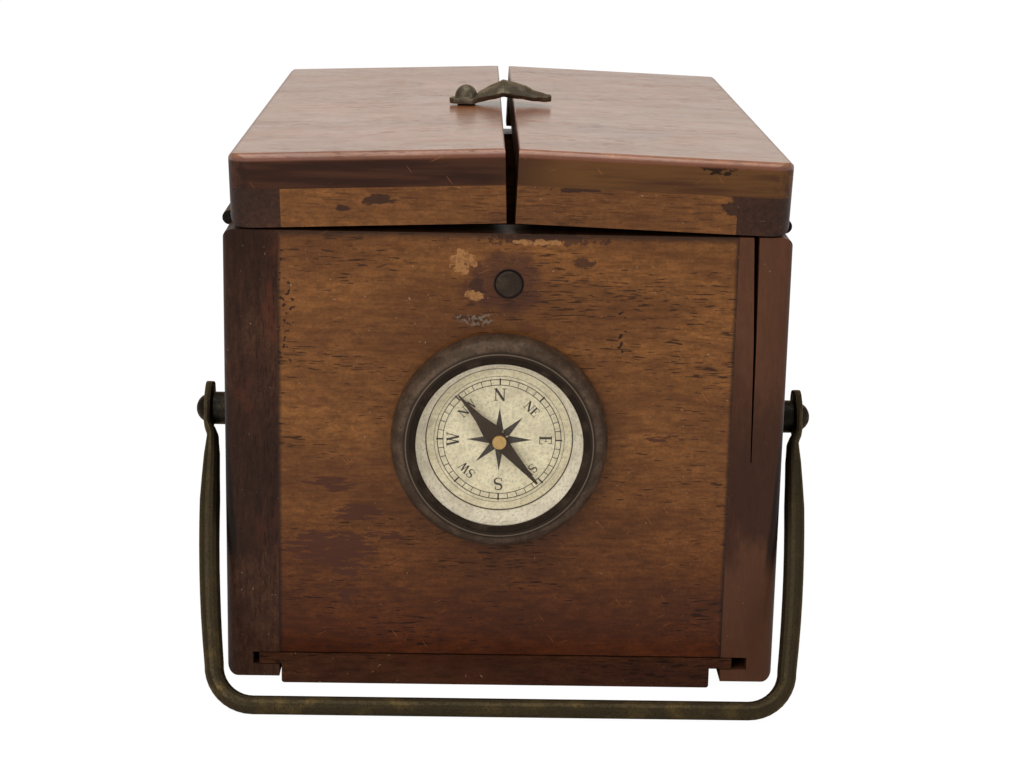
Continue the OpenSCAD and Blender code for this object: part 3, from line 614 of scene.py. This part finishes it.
def dial_point(r, turn):
    """A place on the dial's face at a radius and an angle clockwise from north."""
    angle = math.radians(turn)
    return Vector((dial_centre.x / MM + r * math.sin(angle), 0, dial_centre.z / MM + r * math.cos(angle)))


def print_patch(shape, points):
    """A flat inked patch, a hair thick, on the dial's face."""
    back = dial_face / MM
    rear = [shape.verts.new((p.x, back, p.z)) for p in points]
    front = [shape.verts.new((p.x, back - PRINT_RAISE, p.z)) for p in points]
    count = len(points)
    shape.faces.new(front)
    shape.faces.new(rear[::-1])
    for i in range(count):
        j = (i + 1) % count
        shape.faces.new((front[j], front[i], rear[i], rear[j]))


def dial_circle(shape, r, width, steps=144):
    for i in range(steps):
        a, b = 360 * i / steps, 360 * (i + 1) / steps
        print_patch(shape, [dial_point(r, a), dial_point(r, b),
                            dial_point(r + width, b), dial_point(r + width, a)])


def stroke(a, b, width_a, width_b=None):
    """The outline of a straight pen stroke between two points of a letter's cell."""
    a, b = Vector(a), Vector(b)
    side = Vector((a.y - b.y, b.x - a.x)).normalized()
    wide = width_b or width_a
    return [a + side * width_a / 2, b + side * wide / 2, b - side * wide / 2, a - side * width_a / 2]


def serif(x, y, reach=0.16):
    return stroke((x - reach, y), (x + reach, y), 0.06)


def letter_s():
    """The strokes of an S: two bowls, thick where they cross the middle."""
    path = []
    for step in range(17):
        angle = math.radians(40 + 230 * step / 16)
        path.append((0.40 + 0.27 * math.cos(angle), 0.73 + 0.25 * math.sin(angle)))
    for step in range(1, 17):
        angle = math.radians(90 - 230 * step / 16)
        path.append((0.42 + 0.29 * math.cos(angle), 0.25 + 0.25 * math.sin(angle)))
    last = len(path) - 1
    widths = [0.06 + 0.13 * math.sin(math.pi * i / last) ** 2 for i in range(last + 1)]
    strokes = [stroke(path[i], path[i + 1], widths[i], widths[i + 1]) for i in range(last)]
    return strokes + [stroke((0.62, 0.72), (0.64, 0.98), 0.06), stroke((0.13, 0.0), (0.15, 0.28), 0.06)]


# Each letter's width and strokes, in heights of the letter
LETTERS = {
    "N": (0.95, [stroke((0.14, 0), (0.14, 1), 0.07), stroke((0.80, 0), (0.80, 1), 0.07),
                 stroke((0.12, 1), (0.80, 0), 0.20), serif(0.14, 0.03), serif(0.10, 0.97, 0.12),
                 serif(0.80, 0.97)]),
    "E": (0.78, [stroke((0.22, 0), (0.22, 1), 0.19), stroke((0.04, 0.97), (0.68, 0.97), 0.06),
                 stroke((0.04, 0.03), (0.70, 0.03), 0.06), stroke((0.22, 0.52), (0.50, 0.52), 0.06),
                 stroke((0.68, 1), (0.68, 0.74), 0.06), stroke((0.70, 0), (0.70, 0.28), 0.06),
                 stroke((0.50, 0.62), (0.50, 0.42), 0.06)]),
    "W": (1.22, [stroke((0.14, 1), (0.40, 0), 0.17), stroke((0.40, 0), (0.60, 0.95), 0.07),
                 stroke((0.56, 1), (0.82, 0), 0.17), stroke((0.82, 0), (1.06, 1), 0.07),
                 serif(0.14, 0.97), serif(0.58, 0.97, 0.12), serif(1.06, 0.97, 0.12)]),
    "S": (0.78, letter_s()),
}


def print_word(shape, word, turn, r, height):
    """Sets a word on the dial with its head outward, centred at a radius and an angle."""
    width = sum(LETTERS[letter][0] for letter in word)
    angle = math.radians(turn)
    outward = Vector((math.sin(angle), 0, math.cos(angle)))
    along = Vector((math.cos(angle), 0, -math.sin(angle)))
    start = -width / 2
    middle = dial_point(r, turn)
    for letter in word:
        advance, strokes = LETTERS[letter]
        for outline in strokes:
            print_patch(shape, [middle + (along * (start + p.x) + outward * (p.y - 0.5)) * height
                                for p in outline])
        start += advance


# Inner radius and width of each circle on the dial; the first two bound the divisions. The first three are
# print; the last is a painted shadow line at the step to the reflector ring.
PRINT_AND_SHADOW_CIRCLES = ((10.05, 0.13), (11.05, 0.15), (11.70, 0.07), (13.08, 0.24))
DIVISIONS = 40
MAIN_DIVISION_END = 11.35
POINTS = ("N", "NE", "E", "SE", "S", "SW", "W", "NW")


def dial_print_and_shadow(material):
    """The dial's printed circles, divisions, eight-pointed star and letters, and a painted shadow line at the
    step to the reflector ring.
    """
    shape = bmesh.new()
    for r, width in PRINT_AND_SHADOW_CIRCLES:
        dial_circle(shape, r, width)
    inner, outer = PRINT_AND_SHADOW_CIRCLES[0][0], PRINT_AND_SHADOW_CIRCLES[1][0]
    for i in range(DIVISIONS):
        turn = 360 * i / DIVISIONS
        half, reach = (0.75, MAIN_DIVISION_END) if i % 5 == 0 else (0.34, outer)
        print_patch(shape, [dial_point(inner, turn - half), dial_point(inner, turn + half),
                            dial_point(reach, turn + half), dial_point(reach, turn - half)])
    for i, word in enumerate(POINTS):
        turn = 360 * i / len(POINTS)
        half_turn = 180 / len(POINTS)
        print_patch(shape, [dial_point(0.9, turn), dial_point(1.9, turn - half_turn),
                            dial_point(5.9, turn), dial_point(1.9, turn + half_turn)])
        r, height = (8.15, 1.65) if len(word) > 1 else (8.35, 2.25)
        print_word(shape, word, turn, r, height)
    return new_piece("dial_print_and_shadow", shape, material, "case", smooth=False)


# The latch plate, with X along it from the middle of the slot: half width, half gap of the fork and crown
LATCH_OUTLINE = ((-10.9, 1.1), (-10.2, 1.7), (-8.0, 2.3), (-5.5, 3.0), (-3.0, 4.4), (-1.2, 5.2), (0.0, 5.3),
                 (1.2, 5.2), (3.0, 4.4), (5.5, 3.1), (7.0, 2.6), (8.8, 2.1), (9.7, 1.4))
LATCH_FORK = ((6.6, 0.0), (7.4, 0.25), (9.7, 0.8))
LATCH_CROWN = ((-6.3, 0.05), (-4.6, 0.9), (-2.5, 1.5), (0.0, 2.0), (2.5, 1.95), (4.6, 1.8), (6.6, 1.0),
               (9.7, 0.05))
LATCH_ARCH = 1.4
LATCH_ARCH_HALF = 6.2
LATCH_SCREW_X = -7.5
LATCH_HOLE_R = 1.35
LATCH_THICK = 1.1
LATCH_SEAT = 98.45
HINGE_Z = 84.975

# The latch screw's head: the flatter head that it covers, then its own radius, heights and half slot
CAD_HEAD_HEIGHT = 1.6
HEAD_R = 2.3
CHEEK_HEIGHT = 2.6
SLOT_FLOOR = 1.9
SLOT_HALF = 0.3
SLOT_TURN = -12


def between(table, x):
    """Reads a value off a table of places and values."""
    for (a, low), (b, high) in zip(table, table[1:]):
        if x <= b:
            return low + (high - low) * max(0.0, x - a) / (b - a)
    return table[-1][1]


def latch_surface(x, y):
    """Height of the latch plate's face: arched along it, crowned across it and faintly rippled."""
    arch = LATCH_ARCH * max(0.0, 1 - abs(x) / LATCH_ARCH_HALF)
    crown = between(LATCH_CROWN, x) * (1 - (y / between(LATCH_OUTLINE, x)) ** 2)
    return arch + crown + 0.05 * math.sin(1.9 * x + 0.8 * y) * math.sin(1.3 * y - 0.6 * x)


def latch_plate(material):
    """The hammered latch plate: a lozenge crowned over the slot, forked at its right-hand end."""
    middle_y = (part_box("latch")[0].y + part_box("latch")[1].y) / 2 / MM
    hinge = (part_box("lid_right_hinge_pins")[0].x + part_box("lid_right_hinge_pins")[1].x) / 2 / MM
    tilt = math.radians(LID_AJAR)
    columns, rows = 104, 12
    start, end = LATCH_OUTLINE[0][0], LATCH_OUTLINE[-1][0]
    shape = bmesh.new()
    for side in (-1, 1):
        grid = []
        for i in range(columns + 1):
            x = start + (end - start) * i / columns
            gap = between(LATCH_FORK, x)
            reach = between(LATCH_OUTLINE, x) - gap
            line = [side * (gap + reach * j / rows) for j in range(rows + 1)]
            grid.append([shape.verts.new((x, y, latch_surface(x, y))) for y in line])
        for i in range(columns):
            for j in range(rows):
                corners = (grid[i][j], grid[i + 1][j], grid[i + 1][j + 1], grid[i][j + 1])
                centre = sum((corner.co for corner in corners), Vector()) / 4
                if math.hypot(centre.x - LATCH_SCREW_X, centre.y) > LATCH_HOLE_R:
                    shape.faces.new(corners[::side])
    bmesh.ops.remove_doubles(shape, verts=shape.verts, dist=0.001)
    bmesh.ops.solidify(shape, geom=shape.faces[:], thickness=LATCH_THICK)
    shape.verts.ensure_lookup_table()
    base = LATCH_SEAT - min(vert.co.z for vert in shape.verts)
    for vert in shape.verts:
        x, z = vert.co.x + hinge, vert.co.z + base - HINGE_Z
        vert.co = Vector((x * math.cos(tilt) - z * math.sin(tilt) - hinge, vert.co.y + middle_y,
                          x * math.sin(tilt) + z * math.cos(tilt) + HINGE_Z))
    piece = new_piece("latch_plate", shape, material, "latch")
    refine(piece, 0.12, angle=50)
    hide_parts("latch")


def cut_away(shape, verts, place, away):
    """Cuts off the part of a closed piece beyond a plane, closes the cut and returns the piece's vertices."""
    faces = list(dict.fromkeys(face for vert in verts for face in vert.link_faces))
    edges = list(dict.fromkeys(edge for face in faces for edge in face.edges))
    cut = bmesh.ops.bisect_plane(shape, geom=[*verts, *edges, *faces], plane_co=place, plane_no=away,
                                 clear_outer=True)
    bmesh.ops.contextual_create(shape, geom=[e for e in cut["geom_cut"] if isinstance(e, bmesh.types.BMEdge)])
    left = [part for part in cut["geom"] if part.is_valid and isinstance(part, bmesh.types.BMFace)]
    return list(dict.fromkeys(vert for face in left for vert in face.verts))


def latch_screw_head(material):
    """The tall round head of the latch's screw: two cheeks with the slot between them, on a lower dome."""
    low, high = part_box("latch_screw")
    foot = Vector(((low.x + high.x) / 2, (low.y + high.y) / 2, high.z)) / MM - Vector((0, 0, CAD_HEAD_HEIGHT))
    shape = bmesh.new()
    for side, height in ((-1, CHEEK_HEIGHT), (1, CHEEK_HEIGHT), (0, SLOT_FLOOR)):
        made = bmesh.ops.create_uvsphere(shape, u_segments=36, v_segments=18, radius=HEAD_R)["verts"]
        bmesh.ops.scale(shape, vec=(1, 1, height / HEAD_R), verts=made)
        made = cut_away(shape, made, (0, 0, 0), (0, 0, -1))
        if side:
            made = cut_away(shape, made, (0, SLOT_HALF * side, 0), (0, -side, 0))
        bmesh.ops.rotate(shape, matrix=Matrix.Rotation(math.radians(SLOT_TURN), 3, "Z"), verts=made)
    bmesh.ops.translate(shape, vec=foot, verts=shape.verts)
    return new_piece("latch_screw_head", shape, material, "lid_left")


def refine(piece, bevel=0.0, angle=35):
    """Rounds the edges of a piece that are crisper than an angle in degrees."""
    if bevel:
        rounding = piece.modifiers.new("rounded_edges", "BEVEL")
        rounding.width = bevel * MM
        rounding.segments = 2
        rounding.limit_method = "ANGLE"
        rounding.angle_limit = math.radians(angle)


def dress(material, *names, bevel=0.0):
    for name in names:
        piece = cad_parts[name]
        piece.data.materials.clear()
        piece.data.materials.append(material)
        refine(piece, bevel)


def dress_wood():
    light, dark, film = (0.300, 0.116, 0.029), (0.165, 0.058, 0.014), (0.075, 0.022, 0.010)
    front = wood("front_wood", 0, light, dark, film, 2.0, pores=0.9, patches=0.2,
                 marks=(painted_low_shade, varnish_remains, worm_dots, grime_and_shade_near_fittings, pale_chips,
                        grey_scuffs, dark_seams))
    back = wood("back_wood", 0, light, dark, film, 5.0, patches=0.4, marks=(painted_low_shade, dark_seams))
    panel = wood("panel_wood", 0, (0.100, 0.034, 0.013), (0.056, 0.017, 0.007), (0.066, 0.017, 0.007), 9.0,
                 sheen=0.08, gloss=0.03)
    side = wood("side_wood", 2, (0.088, 0.036, 0.018), (0.034, 0.012, 0.006), (0.110, 0.026, 0.012), 12.0,
                pores=0.5, gloss=0.04, sheen=0.10, marks=(redder_right_and_painted_side_shade,))
    top = wood("lid_wood", 0, (0.42, 0.150, 0.055), (0.30, 0.100, 0.036), (0.26, 0.060, 0.026), 21.0,
               pores=0.35, gloss=0.9, sheen=0.5, lid_board=True, marks=(top_blemishes, dark_ends))
    lid_side = wood("lid_side_wood", 1, (0.080, 0.030, 0.014), (0.044, 0.016, 0.008), (0.05, 0.014, 0.008),
                    25.0)
    strip = wood("strip_wood", 0, (0.310, 0.120, 0.030), (0.175, 0.064, 0.017), (0.12, 0.040, 0.014), 31.0,
                 pores=0.5, patches=0.15, marks=(strip_marks,))

    dress(front, "front_board", bevel=0.25)
    dress(back, "back_board", bevel=0.25)
    dress(panel, "floor_panel", bevel=0.35)
    dress(side, "side_left", "side_right", bevel=0.3)
    dress(top, "lid_left_top", "lid_right_top", bevel=0.25)
    dress(lid_side, "lid_left_side", "lid_right_side", bevel=0.25)
    dress(strip, "lid_left_front", "lid_left_back", "lid_right_front", "lid_right_back", bevel=0.2)


def dress_metal():
    old = metal("old_brass", (0.060, 0.047, 0.030), (0.016, 0.014, 0.011), 4.0, wear=(0.5, 0.85))
    inner = metal("inner_brass", (0.55, 0.38, 0.15), (0.34, 0.25, 0.11), 6.0)
    bail = metal("bail_brass", (0.17, 0.110, 0.036), (0.046, 0.034, 0.018), 8.0, wear=(0.44, 0.86),
                 low_wear=(34.0, 3.0, 0.15, 0.8))
    latch = metal("latch_brass", (0.25, 0.21, 0.15), (0.110, 0.090, 0.062), 3.0)
    plug = metal("button_bronze", (0.075, 0.048, 0.035), (0.022, 0.014, 0.010), 14.0,
                 metallic=0.0, shine=0.25)
    black = metal("black_ring", (0.055, 0.036, 0.024), (0.020, 0.013, 0.009), 15.0,
                  metallic=0.0, shine=0.08)
    steel = metal("spring_steel", (0.40, 0.38, 0.35), (0.25, 0.24, 0.22), 16.0)
    blued = metal("blued_needle", (0.062, 0.044, 0.033), (0.040, 0.028, 0.021), 17.0,
                  metallic=0.0, shine=0.08)
    cap = metal("cap_brass", (0.80, 0.52, 0.20), (0.62, 0.38, 0.14), 18.0, rough=(0.28, 0.4))

    dress(old, "bail_bosses", "bail_screws", "case_hinge_leaves", "case_hinge_screws",
          "lid_left_hinge_leaves", "lid_left_hinge_screws", "lid_left_hinge_pins",
          "lid_right_hinge_leaves", "lid_right_hinge_screws", "lid_right_hinge_pins",
          "latch_washer", "latch_screw")
    dress(inner, "compass_bowl", "spindle", "lock_ring", "button_bush", "lever_bracket", "lever_pin",
          "bracket_screws", "arrest_lever", "lift_sleeve")
    dress(bail, "bail")
    dress(bezel_bronze(), "bezel")
    dress(plug, "button", bevel=0.3)
    dress(black, "glass_ring")
    dress(steel, "button_spring")
    dress(blued, "needle")
    dress(cap, "needle_cap", bevel=0.15)
    latch_plate(latch)
    latch_screw_head(latch)


def dress_dial():
    dress(jewel("red_stone"), "cap_jewel")
    dress(printed_card("silvered_ring", (0.88, 0.80, 0.62), (0.66, 0.58, 0.44), 2), "reflector_ring")
    dress(printed_card("dial_card", (0.95, 0.85, 0.58), (0.70, 0.61, 0.41), 5), "dial_plate")
    dress(clear_glass("clear_glass"), "glass")
    dial_print_and_shadow(ink_and_shadow("print_and_shadow_ink", (0.040, 0.030, 0.023)))


make_camera()
make_stage()
dress_wood()
dress_metal()
dress_dial()
